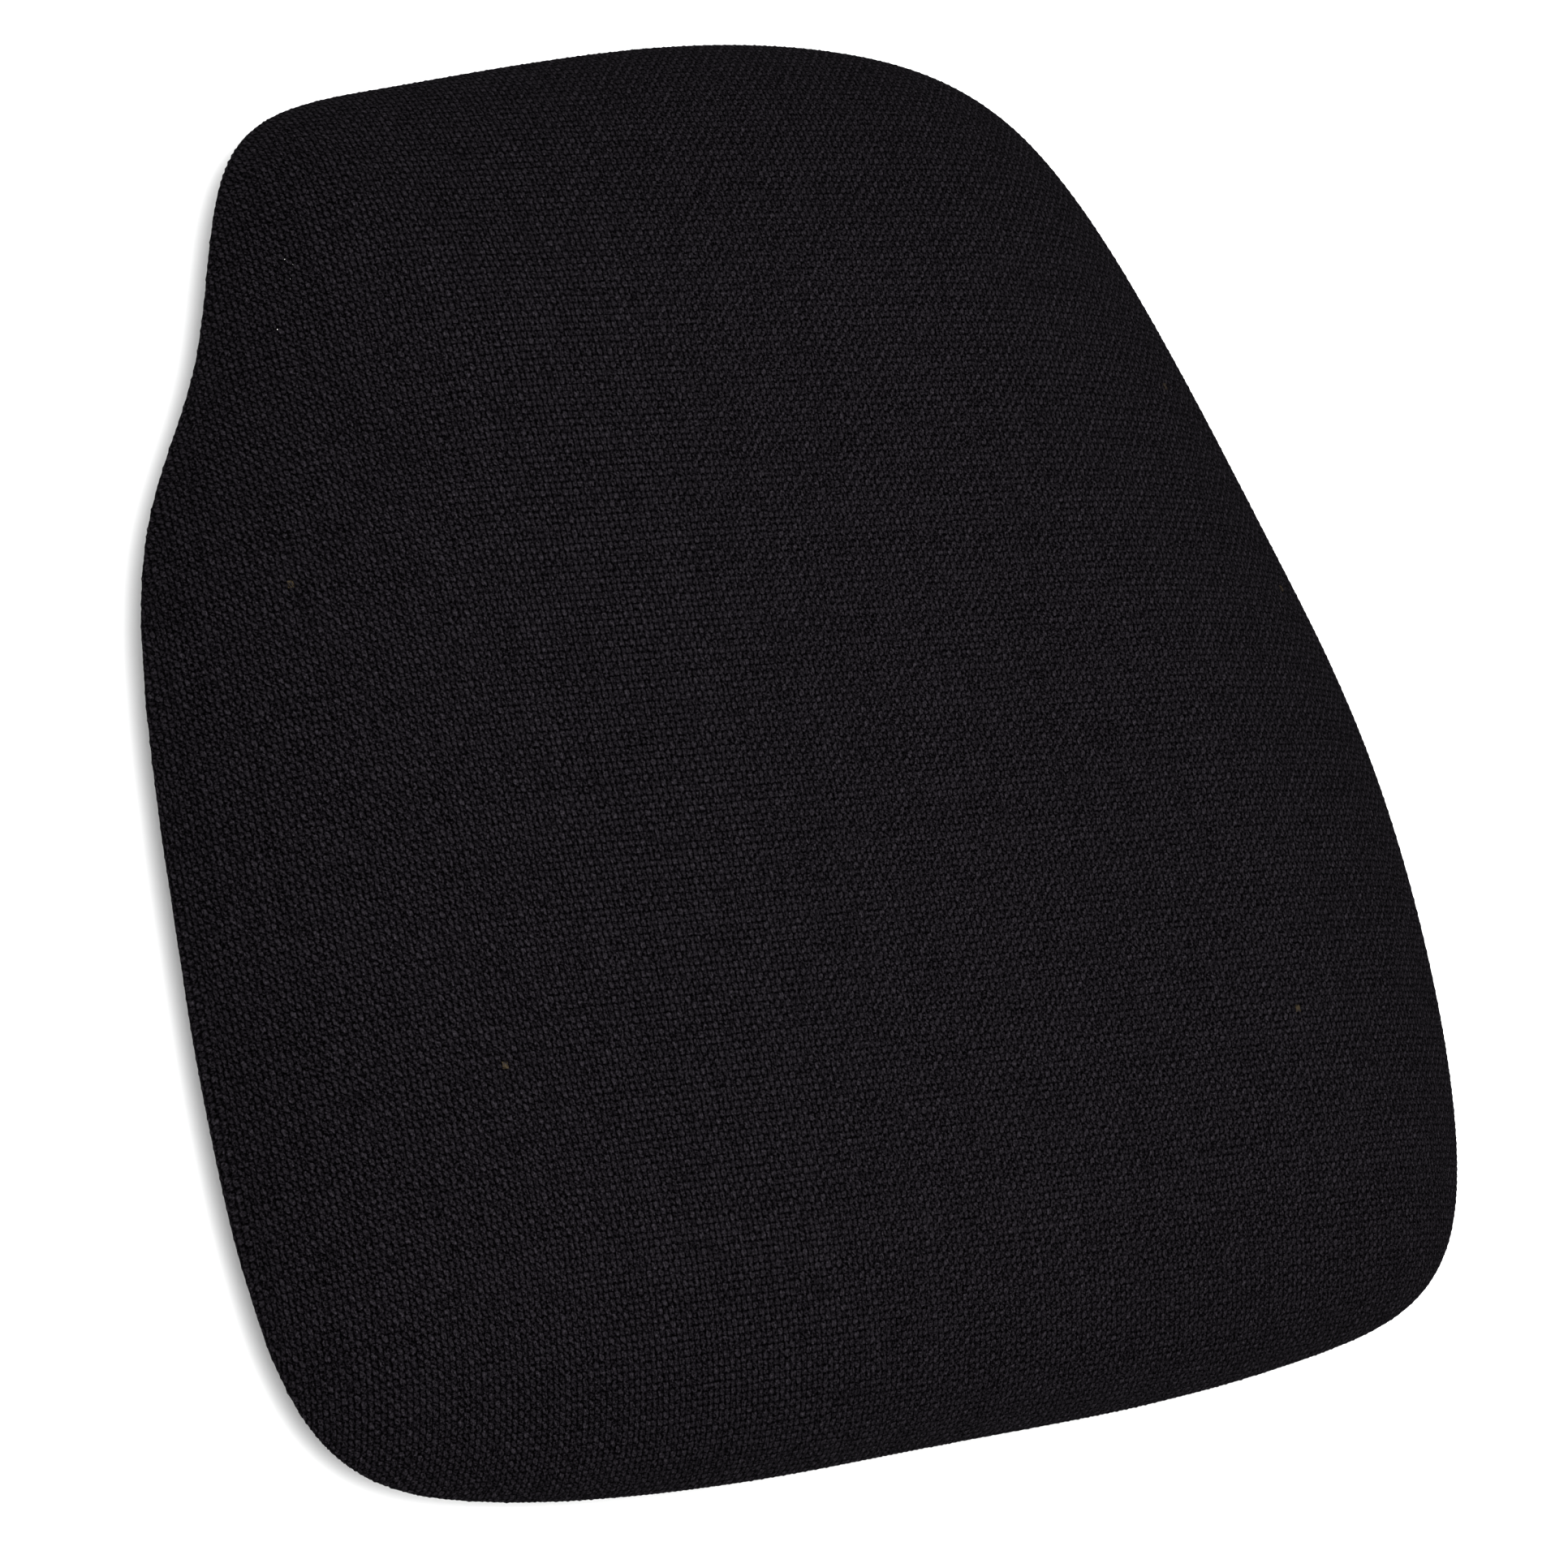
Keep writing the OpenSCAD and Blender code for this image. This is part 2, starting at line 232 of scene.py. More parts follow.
class Studio(PropertyGroup):
    """The floor, the lights and the camera."""

    floor_colour: colour("Floor", "Colour of the floor", (0.9, 0.9, 0.9))
    sky: share("Ambient light", "Strength of the even light from all round", 1.0, 0.0, 5.0)
    key: power("Key light", "Power of the large soft light overhead", 62.0)
    fill: power("Fill light", "Power of the fill light from the front left", 8.0)
    aim: FloatVectorProperty(
        name="Aim", description="Point that the camera looks at",
        default=(-0.01884, -0.02154, 0.04), subtype="TRANSLATION", unit="LENGTH", precision=5,
    )
    distance: length("Distance", "Distance from the camera to that point", 1.5351, 0.3, 10.0)
    azimuth: turned("Azimuth", "Where the camera stands, from the front towards the right", -70.302)
    elevation: turned("Elevation", "Height of the camera above the horizon", 54.252)
    roll: turned("Roll", "Turn of the camera about its own line of sight", 61.185)
    lens: FloatProperty(
        name="Lens", description="Focal length", default=137.85, min=20.0, max=400.0, unit="CAMERA",
    )


SETTINGS = {
    "seat_shape": SeatShape,
    "seat_cloth": CoverCloth,
    "seat_padding": Padding,
    "seat_hardware": Hardware,
    "seat_studio": Studio,
}


# Form ----------------------------------------------------------------------------------------

def outline(shape, unevenness, steps=24):
    """Points of the seat's outline in plan, all the way round."""
    half, rear, deep = shape.width / 2, shape.rear_width / 2, shape.depth / 2
    even = np.array([(a * rear + b * (half - rear), c * deep) for a, b, c in OUTLINE])
    right = even + np.array(PULL_RIGHT) * unevenness / 1000
    left = even * [-1, 1] + np.array(PULL_LEFT) * unevenness / 1000
    cage = np.concatenate([right, left[-2:0:-1]])
    t = np.arange(steps)[:, None] / steps
    weights = (1 - t) ** 3, 3 * t**3 - 6 * t**2 + 4, 3 * t + 3 * t**2 - 3 * t**3 + 1, t**3
    spans = []
    for i in range(len(cage)):
        near = (cage[(i + k) % len(cage)] for k in range(4))
        spans.append(sum(w * point for w, point in zip(weights, near)) / 6)
    return np.concatenate(spans)


class Crown:
    """The pad's crowned form as meridians: one in each direction from the middle of the seat, over
    the shoulder to the lower edge and in under the board."""

    def __init__(self, shape, low, high, inset=0.0, softness=0.0, even=False):
        rim = outline(shape, 0.0 if even else shape.unevenness)
        along = np.roll(rim, -1, 0) - np.roll(rim, 1, 0)
        normal = np.stack([along[:, 1], -along[:, 0]], 1) / np.linalg.norm(along, axis=1)[:, None]
        angle = np.arctan2(rim[:, 1], rim[:, 0])
        radius = np.hypot(rim[:, 0], rim[:, 1])
        facing = (rim * normal).sum(1) / radius
        order = np.argsort(angle)
        self.angle = np.linspace(-math.pi, math.pi, DIRECTIONS, endpoint=False)

        def at_angles(values):
            return np.interp(self.angle, angle[order], values[order], period=2 * math.pi)

        self.facing = at_angles(facing)
        self.radius = at_angles(radius) - inset / self.facing
        c = -np.sin(self.angle)
        front, side, back = shape.front_round, shape.side_round, shape.back_round
        self.shoulder = side + (front - back) / 2 * c + ((front + back) / 2 - side) * c * c
        self.shape, self.low, self.high, self.softness = shape, low, high, softness
        self.tabulate()

    def height(self, t, k=slice(None)):
        """Height over the floor at the share t of the way from the middle to the lower edge."""
        q = np.clip((1 - t) * (self.radius * self.facing / self.shoulder)[k, None], 0, 1)
        fall = 1 - (1 - (1 - q) ** self.shape.fullness) ** (1 / self.shape.steepness)
        rise = self.shape.crown_rise
        return self.high - rise * t**2 - (self.high - self.low - rise) * fall

    def tabulate(self, under=0.08, most_under=0.7):
        """Radius and height against the distance along the cloth from the middle."""
        inner = 1 - self.shoulder / (self.radius * self.facing)
        u = np.linspace(1, 0, SHOULDER_STEPS)
        top = np.linspace(0, 1, TOP_STEPS, endpoint=False)[None] * inner[:, None]
        t = np.concatenate([top, 1 - (1 - inner)[:, None] * u[None] ** 3], 1)
        rho, z = t * self.radius[:, None], self.height(t)
        deep = np.minimum(under / self.facing, self.radius * most_under)
        turn = np.linspace(0, 1, UNDER_STEPS)[None, 1:] * deep[:, None]
        rho = np.concatenate([rho, self.radius[:, None] - turn], 1)
        z = np.concatenate([z, np.full_like(turn, self.low)], 1)
        step = np.hypot(np.diff(rho, axis=1), np.diff(z, axis=1))
        arc = np.concatenate([np.zeros((DIRECTIONS, 1)), np.cumsum(step, 1)], 1)
        self.edge_at = arc[:, TOP_STEPS + SHOULDER_STEPS - 1]
        even = np.arange(0, arc.max() + STORED_STEP, STORED_STEP)
        self.rho = np.stack([np.interp(even, arc[k], rho[k]) for k in range(DIRECTIONS)])
        self.z = np.stack([np.interp(even, arc[k], z[k]) for k in range(DIRECTIONS)])
        if self.softness:
            near = self.near_edge(even)
            self.rho += (self.blurred(self.rho) - self.rho) * near
            self.z += (self.blurred(self.z) - self.z) * near

    def near_edge(self, distances, furthest=0.012, slope=3):
        """One around the lower edge, and less from two thirds of the furthest distance away."""
        away = np.abs(distances[None] - self.edge_at[:, None])
        return np.clip((1 - away / furthest) * slope, 0, 1)

    def blurred(self, table):
        """Each meridian blurred along its length."""
        reach = int(3 * self.softness / STORED_STEP)
        offsets = np.arange(-reach, reach + 1) * STORED_STEP
        bell = np.exp(-0.5 * (offsets / self.softness) ** 2)
        bell /= bell.sum()
        padded = np.pad(table, ((0, 0), (reach, reach)), mode="edge")
        return sum(w * padded[:, i:i + table.shape[1]] for i, w in enumerate(bell))

    def between(self, q):
        """The stored directions on each side of q, and how far q is towards the second."""
        turn = (np.arctan2(q[..., 1], q[..., 0]) + math.pi) / (2 * math.pi) * DIRECTIONS
        k = np.floor(turn).astype(int)
        return k % DIRECTIONS, (k + 1) % DIRECTIONS, turn - k

    def by_direction(self, values, q):
        """A value that each direction has, in the directions of q."""
        a, b, f = self.between(q)
        return values[a] * (1 - f) + values[b] * f

    def place(self, q):
        """Points on the form from flattened coordinates, whose length is the distance along the
        cloth from the middle."""
        far = np.hypot(q[..., 0], q[..., 1])
        a, b, f = self.between(q)
        s = np.clip(far / STORED_STEP, 0, self.rho.shape[1] - 1.001)
        j = s.astype(int)
        g = s - j
        found = []
        for table in (self.rho, self.z):
            found.append(
                (table[a, j] * (1 - g) + table[a, j + 1] * g) * (1 - f)
                + (table[b, j] * (1 - g) + table[b, j + 1] * g) * f
            )
        rho, z = found
        across = np.where(far > 1e-9, rho / np.maximum(far, 1e-9), 1.0)
        return np.stack([q[..., 0] * across, q[..., 1] * across, z], -1)


def drape(crown, cell_x, cell_y, count_x, count_y):
    """Lays a net of unstretched threads over the form, out from its two middle threads, and gives
    each knot's flattened coordinates."""
    nudge, flattest, longest_step, furthest = 2e-4, 0.15, 0.002, 0.004
    net = np.zeros((2 * count_x + 1, 2 * count_y + 1, 2))
    net[:, count_y, 0] = np.arange(-count_x, count_x + 1) * cell_x
    net[count_x, :, 1] = np.arange(-count_y, count_y + 1) * cell_y
    for sx in (1, -1):
        for sy in (1, -1):
            for total in range(2, count_x + count_y + 1):
                i = np.arange(max(1, total - count_y), min(count_x, total - 1) + 1)
                j = total - i
                a, b = count_x + sx * i, count_y + sy * j
                back_x, back_y, corner = net[a - sx, b], net[a, b - sy], net[a - sx, b - sy]
                start = back_x + back_y - corner
                from_x, from_y = crown.place(back_x), crown.place(back_y)

                def miss(q):
                    p = crown.place(q)
                    miss_x = np.linalg.norm(p - from_x, axis=-1) - cell_x
                    miss_y = np.linalg.norm(p - from_y, axis=-1) - cell_y
                    return np.stack([miss_x, miss_y], -1)

                q = start.copy()
                for _ in range(6):
                    m = miss(q)
                    du = (miss(q + [nudge, 0]) - m) / nudge
                    dv = (miss(q + [0, nudge]) - m) / nudge
                    det = du[:, 0] * dv[:, 1] - dv[:, 0] * du[:, 1]
                    det = np.where(np.abs(det) < flattest, np.sign(det + 1e-12) * flattest, det)
                    step_x = (m[:, 0] * dv[:, 1] - dv[:, 0] * m[:, 1]) / det
                    step_y = (du[:, 0] * m[:, 1] - m[:, 0] * du[:, 1]) / det
                    q = q - np.clip(np.stack([step_x, step_y], -1), -longest_step, longest_step)
                net[a, b] = start + np.clip(q - start, -furthest, furthest)
    return net


def finer(count, parts):
    """Weights that lay a smooth curve through evenly spaced values, in a number of parts each."""
    where = np.arange((count - 1) * parts + 1) / parts
    k = np.minimum(where.astype(int), count - 2)
    t = where - k
    weights = np.zeros((len(where), count))
    rows = np.arange(len(where))
    for shift, w in (
        (-1, (-t + 2 * t**2 - t**3) / 2),
        (0, (2 - 5 * t**2 + 3 * t**3) / 2),
        (1, (t + 4 * t**2 - 3 * t**3) / 2),
        (2, (-(t**2) + t**3) / 2),
    ):
        np.add.at(weights, (rows, np.clip(k + shift, 0, count - 1)), w)
    return weights


def spread(weights_x, weights_y, values):
    """Values of a coarse net carried on to the finer one."""
    return np.einsum("ai,ijc,bj->abc", weights_x, values, weights_y, optimize=True)


def facing_of(points):
    """Unit directions out of a grid of points."""
    du, dv = np.gradient(points, axis=0), np.gradient(points, axis=1)
    n = np.cross(du, dv)
    return n / np.maximum(np.linalg.norm(n, axis=-1, keepdims=True), 1e-12)


def softened(values, passes):
    """A grid of values, each averaged with its neighbours."""
    for _ in range(passes):
        p = np.pad(values, 1, mode="edge")
        beside = p[:-2, 1:-1] + p[2:, 1:-1] + p[1:-1, :-2] + p[1:-1, 2:]
        values = (beside + 4 * p[1:-1, 1:-1]) / 8
    return values


def cells_of(grid):
    """The four corner values of each cell of a grid."""
    return np.stack([grid[:-1, :-1], grid[1:, :-1], grid[1:, 1:], grid[:-1, 1:]], -1)


# Meshes --------------------------------------------------------------------------------------

def mounted(name, mesh, finish, stands_for):
    """A mesh as an object that rides on the seat."""
    mesh.validate()
    mesh.materials.append(finish)
    piece = bpy.data.objects.new(name, mesh)
    bpy.context.scene.collection.objects.link(piece)
    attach(piece, BODY)
    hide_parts(*stands_for)
    return piece


def add_quads(name, verts, faces, finish, stands_for):
    """A piece of the seat from arrays of vertices and four-sided faces."""
    mesh = bpy.data.meshes.new(name)
    verts, faces = np.asarray(verts, np.float32), np.asarray(faces, np.int32)
    mesh.vertices.add(len(verts))
    mesh.vertices.foreach_set("co", verts.ravel())
    mesh.loops.add(faces.size)
    mesh.loops.foreach_set("vertex_index", faces.ravel())
    mesh.polygons.add(len(faces))
    starts = np.arange(len(faces), dtype=np.int32) * faces.shape[1]
    mesh.polygons.foreach_set("loop_start", starts)
    mesh.polygons.foreach_set("use_smooth", np.full(len(faces), True))
    mesh.update(calc_edges=True)
    return mounted(name, mesh, finish, stands_for)


def lay_map(mesh, name, points):
    """A UV map with one place for each vertex."""
    corner = np.empty(len(mesh.loops), np.int32)
    mesh.loops.foreach_get("vertex_index", corner)
    layer = mesh.uv_layers.new(name=name)
    layer.data.foreach_set("uv", np.asarray(points, np.float32)[corner].ravel())


def add_closed(name, rings, ends, finish, stands_for):
    """A piece of the seat as a closed skin through rings, between an end point before the first
    ring and one after the last."""
    count, size = len(rings), len(rings[0])
    verts = np.concatenate([*rings, np.array(ends)])
    i = np.arange(size)
    j = (i + 1) % size
    faces = []
    for r in range(count - 1):
        row, following = r * size, (r + 1) * size
        faces += np.stack([row + i, following + i, following + j, row + j], 1).tolist()
    first, last = count * size, count * size + 1
    row = (count - 1) * size
    faces += np.stack([np.full(size, first), i, j], 1).tolist()
    faces += np.stack([np.full(size, last), row + j, row + i], 1).tolist()
    mesh = bpy.data.meshes.new(name)
    mesh.from_pydata(verts.tolist(), [], faces)
    mesh.polygons.foreach_set("use_smooth", np.full(len(mesh.polygons), True))
    return mounted(name, mesh, finish, stands_for)


def crown_rings(crown, shares, every=6):
    """Rings of a crowned layer at shares of the way from the middle to its lower edge."""
    k = np.arange(0, DIRECTIONS, every)
    rings = []
    for t in shares:
        z = crown.height(np.full((len(k), 1), t), k)[:, 0]
        rho = crown.radius[k] * t
        rings.append(np.stack([rho * np.cos(crown.angle[k]), rho * np.sin(crown.angle[k]), z], 1))
    return rings


def flat_ring(crown, inset, z, every=6):
    """A level ring that stands in from a layer's lower edge."""
    k = np.arange(0, DIRECTIONS, every)
    rho = crown.radius[k] - inset / crown.facing[k]
    return np.stack([rho * np.cos(crown.angle[k]), rho * np.sin(crown.angle[k]), np.full(len(k), z)], 1)


# Finishes ------------------------------------------------------------------------------------

class Finish:
    """A material and short calls for the nodes that make it."""

    def __init__(self, name, **settings):
        self.material = bpy.data.materials.new(name)
        self.material.use_nodes = True
        self.tree = self.material.node_tree
        self.tree.nodes.clear()
        self.shader = self.node("ShaderNodeBsdfPrincipled")
        output = self.node("ShaderNodeOutputMaterial")
        self.tree.links.new(self.shader.outputs["BSDF"], output.inputs["Surface"])
        for socket, value in settings.items():
            self.set(socket.replace("_", " "), value)

    def node(self, kind, **settings):
        made = self.tree.nodes.new(kind)
        for name, value in settings.items():
            setattr(made, name, value)
        return made

    def feed(self, socket, value):
        if isinstance(value, bpy.types.NodeSocket):
            self.tree.links.new(value, socket)
        elif hasattr(value, "__len__") and len(value) == 3 and socket.type == "RGBA":
            socket.default_value = (*value, 1.0)
        else:
            socket.default_value = value

    def set(self, socket, value):
        self.feed(self.shader.inputs[socket], value)

    def calc(self, operation, *values):
        made = self.node("ShaderNodeMath", operation=operation)
        for socket, value in zip(made.inputs, values):
            self.feed(socket, value)
        return made.outputs[0]

    def product(self, a, b):
        return self.calc("MULTIPLY", a, b)

    def total(self, a, b):
        return self.calc("ADD", a, b)

    def minus(self, a, b):
        return self.calc("SUBTRACT", a, b)

    def product_plus(self, a, b, c):
        return self.calc("MULTIPLY_ADD", a, b, c)

    def vector(self, x, y, z=0.0):
        made = self.node("ShaderNodeCombineXYZ")
        for socket, value in zip(made.inputs, (x, y, z)):
            self.feed(socket, value)
        return made.outputs[0]

    def parts(self, vector):
        made = self.node("ShaderNodeSeparateXYZ")
        self.feed(made.inputs[0], vector)
        return made.outputs

    def place(self):
        return self.node("ShaderNodeTexCoord").outputs["Object"]

    def noise(self, vector, scale, detail=2.0, rough=0.5):
        made = self.node("ShaderNodeTexNoise")
        self.feed(made.inputs["Vector"], vector)
        made.inputs["Scale"].default_value = scale
        made.inputs["Detail"].default_value = detail
        made.inputs["Roughness"].default_value = rough
        return made.outputs["Fac"]

    def cells(self, vector, scale, feature="F1"):
        made = self.node("ShaderNodeTexVoronoi", feature=feature)
        self.feed(made.inputs["Vector"], vector)
        made.inputs["Scale"].default_value = scale
        return made.outputs["Distance"]

    def chance(self, vector):
        made = self.node("ShaderNodeTexWhiteNoise", noise_dimensions="3D")
        self.feed(made.inputs["Vector"], vector)
        return made.outputs["Value"]

    def spread(self, value, low, high, to_low=0.0, to_high=1.0, smooth=False):
        made = self.node("ShaderNodeMapRange")
        if smooth:
            made.interpolation_type = "SMOOTHSTEP"
        for socket, v in zip(made.inputs, (value, low, high, to_low, to_high)):
            self.feed(socket, v)
        return made.outputs[0]

    def blend(self, amount, first, second):
        made = self.node("ShaderNodeMix", data_type="RGBA")
        self.feed(made.inputs[0], amount)
        self.feed(made.inputs[6], first)
        self.feed(made.inputs[7], second)
        return made.outputs[2]

    def pick(self, amount, first, second):
        made = self.node("ShaderNodeMix", data_type="FLOAT")
        self.feed(made.inputs[0], amount)
        self.feed(made.inputs[2], first)
        self.feed(made.inputs[3], second)
        return made.outputs[0]

    def times(self, tint, amount):
        """A colour made lighter or darker."""
        made = self.node("ShaderNodeVectorMath", operation="SCALE")
        self.feed(made.inputs[0], tint)
        self.feed(made.inputs["Scale"], amount)
        return made.outputs[0]

    def bump(self, height, distance, strength=1.0):
        made = self.node("ShaderNodeBump")
        made.inputs["Strength"].default_value = strength
        made.inputs["Distance"].default_value = distance
        self.feed(made.inputs["Height"], height)
        self.set("Normal", made.outputs[0])


def woven_finish(cloth):
    """Plain-woven heathered yarn: rounded floats over gaps darkened by painted shade, with fibre
    streaks and slubs, and painted shade over the shoulder.
    """
    f = Finish("woven_cloth", Roughness=cloth.rough, Specular_IOR_Level=0.0)
    f.set("Sheen Weight", cloth.sheen)
    f.set("Sheen Roughness", 0.45)
    f.set("Sheen Tint", (0.9, 0.88, 0.95))
    yarns = f.node("ShaderNodeUVMap", uv_map="yarn_count").outputs[0]
    a, b, _ = f.parts(yarns)
    warp, weft = f.calc("ROUND", a), f.calc("ROUND", b)
    off_warp, off_weft = f.minus(a, warp), f.minus(b, weft)
    # The cloth is pulled askew towards the left, where its crossings slant the other way
    lean = f.spread(a, *ASKEW, cloth.lean * 1.3, -cloth.lean)
    leant_b = f.product_plus(off_warp, lean, b)
    leant_a = f.product_plus(off_weft, lean, a)
    turn_warp = f.calc("COSINE", f.product(warp, math.pi))
    turn_weft = f.calc("COSINE", f.product(weft, math.pi))

    def roundness(off):
        side = f.product(off, 1.86)
        return f.calc("SQRT", f.minus(1.0, f.product(side, side)))

    wave_warp = f.product(turn_warp, f.calc("COSINE", f.product(leant_b, math.pi)))
    wave_weft = f.product(turn_weft, f.calc("COSINE", f.product(leant_a, math.pi)))
    high_warp = f.product(f.total(roundness(off_warp), wave_warp), 0.5)
    high_weft = f.product(f.minus(roundness(off_weft), wave_weft), 0.42)
    over = f.calc("GREATER_THAN", high_warp, high_weft)
    high = f.calc("MAXIMUM", high_warp, high_weft)

    # Fibres lie along whichever yarn is on top, with a slight twist
    twist, fineness, stretch = 0.45, 5.0, 1.3
    across_warp = f.product(f.product_plus(b, twist, a), fineness)
    strand_warp = f.vector(across_warp, f.product(b, stretch), warp)
    along_weft = f.product(a, stretch)
    across_weft = f.product(f.product_plus(a, twist, b), fineness)
    strand_weft = f.vector(along_weft, across_weft, weft)
    strands = f.pick(over, f.noise(strand_weft, 1.0, 2.5, 0.6), f.noise(strand_warp, 1.0, 2.5, 0.6))
    fuzz = f.noise(yarns, 2.3, 3.0, 0.8)
    glint = f.spread(f.noise(yarns, 3.4, 0.0), 0.62, 0.74)

    # Every yarn has its own shade, and each crossing differs a little
    shade_warp = f.chance(f.vector(warp, 0.0, 3.0))
    shade_weft = f.chance(f.vector(0.0, weft, 8.0))
    crossing = f.chance(f.vector(warp, weft, 5.0))
    tone = 1.0
    for amount, source in (
        (0.25, f.pick(over, shade_weft, shade_warp)), (0.4, crossing), (5.0, strands), (7.5, fuzz),
        (0.25, f.noise(yarns, 0.16, 2.0)),
    ):
        tone = f.product_plus(f.minus(source, 0.5), amount * cloth.heather * 2, tone)
    darkest = 0.08
    tone = f.calc("MAXIMUM", f.product_plus(glint, cloth.heather * 3.2, tone), darkest)
    # Painted shade: the colour darkens from the yarns' tops down to the gap colour between them
    lift = f.spread(f.product_plus(f.minus(fuzz, 0.5), 1.3, high), 0.36, 0.84, smooth=True)
    # Painted shade darkens the furrows between the lengthwise yarns, deeper on the left
    painted_furrow_shade = f.spread(f.calc("ABSOLUTE", off_warp), 0.26, 0.5, smooth=True)
    painted_furrow_shade = f.product(painted_furrow_shade, f.spread(a, *ASKEW, 0.65, 0.25))
    lift = f.product(lift, f.minus(1.0, painted_furrow_shade))
    # Painted shade: crossings where the crosswise yarn lies on top are darker
    lift = f.product(lift, f.pick(over, 1 - cloth.weft_painted_shade, 1.0))
    cover = f.times(f.blend(lift, tuple(cloth.gap_shade_colour), tuple(cloth.top_colour)), tone)
    # Painted shade: the cloth's colour darkens over the shoulder, below the crown, where the light
    # falls off
    height = f.parts(f.place())[2]
    shoulder = 0.024
    shade = f.spread(height, COVER_HIGH.z - shoulder, COVER_HIGH.z, 1 - cloth.painted_shoulder_shade, 1.0)
    cover = f.times(cover, shade)
    without_fleck = 0.9999
    rare = f.calc("GREATER_THAN", f.chance(f.vector(warp, weft, 11.0)), without_fleck)
    rare = f.product(rare, f.spread(strands, 0.45, 0.6))
    f.set("Base Color", f.blend(rare, cover, tuple(cloth.fleck_colour)))
    grain = f.product_plus(strands, 0.5, high)
    f.bump(f.product_plus(fuzz, 0.35, grain), 0.0004)
    return f.material


def wadding_finish(padding):
    """Matted white fibre."""
    f = Finish("fibre_wadding", Roughness=1.0, Specular_IOR_Level=0.1)
    where = f.place()
    x, y, z = f.parts(where)
    lofty = f.noise(where, 60.0, 3.0)
    fineness, drawn_out, wander = 900.0, 0.2, 0.02
    along = f.vector(f.product_plus(lofty, wander, x), f.product(y, drawn_out), z)
    across = f.vector(f.product(x, drawn_out), f.product_plus(lofty, wander, y), z)
    mat = f.calc("MAXIMUM", f.noise(along, fineness, 4.0, 0.7), f.noise(across, fineness, 4.0, 0.7))
    tint = f.times(tuple(padding.wadding_colour), f.spread(mat, 0.35, 0.75, 0.8, 1.12))
    f.set("Base Color", tint)
    f.set("Sheen Weight", 0.3)
    f.bump(f.total(mat, lofty), 0.0006)
    return f.material


def foam_finish(padding):
    """Open-celled upholstery foam."""
    f = Finish("cut_foam", Roughness=0.95, Specular_IOR_Level=0.15)
    where = f.place()
    pores = f.cells(where, 1300.0)
    large = f.cells(where, 420.0)
    # Painted shade: the colour darkens in the pores, which also set the bump
    pit = f.calc("MINIMUM", f.spread(pores, 0.1, 0.5), f.spread(large, 0.03, 0.16))
    tint = f.blend(pit, f.times(tuple(padding.foam_colour), 0.55), tuple(padding.foam_colour))
    f.set("Base Color", f.times(tint, f.spread(f.noise(where, 14.0), 0.3, 0.7, 0.9, 1.06)))
    f.bump(pit, 0.0005)
    return f.material


def ply_finish(hardware):
    """Birch plywood: streaked face grain, and plies in turn along the cut edge."""
    f = Finish("plywood", Roughness=0.62)
    where = f.place()
    x, y, z = f.parts(where)
    bend = f.noise(where, 9.0, 2.0)
    across_grain = f.product(f.product_plus(bend, 0.03, y), 60.0)
    grain = f.noise(f.vector(f.product(x, 3.0), across_grain), 1.6, 5.0, 0.6)
    pores = f.noise(f.vector(f.product(x, 40.0), f.product(y, 900.0)), 1.0, 2.0)
    two_plies = 0.0024
    layer = f.calc("FRACT", f.product(f.minus(z, BOARD_LOW.z), 1 / two_plies))
    end_grain = f.calc("GREATER_THAN", layer, 0.5)
    normal = f.node("ShaderNodeNewGeometry").outputs["Normal"]
    edge = f.calc("LESS_THAN", f.calc("ABSOLUTE", f.parts(normal)[2]), 0.5)
    face = f.total(f.spread(grain, 0.3, 0.7), f.product(f.minus(pores, 0.5), 0.35))
    plies = f.total(f.product(end_grain, 0.6), f.product(f.noise(where, 700.0, 3.0), 0.4))
    mixed = f.pick(edge, face, plies)
    f.set("Base Color", f.blend(mixed, tuple(hardware.ply_light), tuple(hardware.ply_dark)))
    f.set("Roughness", f.spread(mixed, 0.0, 1.0, 0.55, 0.75))
    f.bump(mixed, 0.00012)
    return f.material


def pan_finish(hardware):
    """Fine-textured black moulded plastic, a little polished where it has been handled."""
    f = Finish("moulded_pan", Specular_IOR_Level=0.45)
    where = f.place()
    texture = f.total(f.cells(where, 1500.0), f.product(f.noise(where, 2600.0, 2.0), 0.6))
    flow = f.noise(where, 11.0, 3.0)
    worn = f.spread(f.noise(where, 45.0, 4.0, 0.65), 0.56, 0.74)
    shade = f.total(f.spread(flow, 0.3, 0.7, 0.85, 1.15), f.product(worn, 0.35))
    f.set("Base Color", f.times(tuple(hardware.pan_colour), shade))
    f.set("Roughness", f.minus(f.spread(texture, 0.0, 1.3, 0.48, 0.66), f.product(worn, 0.08)))
    f.bump(texture, 0.00006)
    return f.material


def metal_finish(name, tint, rough=0.3, twist=0.0):
    """Plated or turned metal with fine marks and dulled patches."""
    f = Finish(name, Metallic=1.0)
    where = f.place()
    x, y, z = f.parts(where)
    marks = f.noise(f.vector(x, y, f.product(z, 6.0)), 1800.0, 3.0)
    dull = f.noise(where, 160.0, 3.0)
    f.set("Base Color", f.times(tuple(tint), f.spread(dull, 0.3, 0.7, 0.82, 1.05)))
    marked = f.spread(marks, 0.3, 0.7, rough - 0.06, rough + 0.08)
    f.set("Roughness", f.total(marked, f.spread(dull, 0.4, 0.8, 0.0, 0.12)))
    height = marks
    if twist:
        knurl = f.calc("SINE", f.product(f.total(f.total(x, y), z), twist))
        height = f.total(marks, knurl)
    f.bump(height, 0.00002)
    return f.material


